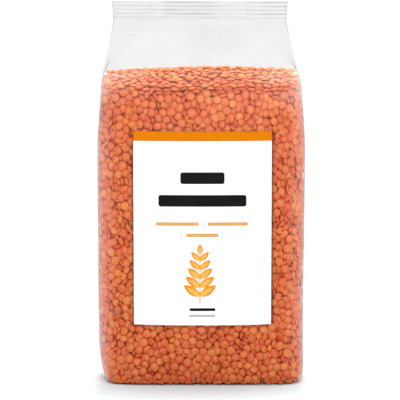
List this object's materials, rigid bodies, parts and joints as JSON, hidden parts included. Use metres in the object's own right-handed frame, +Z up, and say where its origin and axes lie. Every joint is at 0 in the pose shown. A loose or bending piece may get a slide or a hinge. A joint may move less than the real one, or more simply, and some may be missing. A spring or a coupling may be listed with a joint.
{
  "type": "bag of lentils",
  "caption": "Clear side-gusset bag filled with red lentils, with a crimped top seal, an empty folded head and a front label; it stands on its flat base.",
  "frame": {"origin": "middle of the bag's box at the height of the surface it stands on", "axes": "+Z up, -Y out of the front panel that carries the label, +X to the right when the label is looked at"},
  "size_m": [0.1094, 0.0447, 0.1993],
  "materials": {
    "lentils": "matte",
    "film": "gloss",
    "label": "satin",
    "print": "satin"
  },
  "bodies": {
    "root": {"bag": "lentils", "label": "label"}
  },
  "joints": []
}
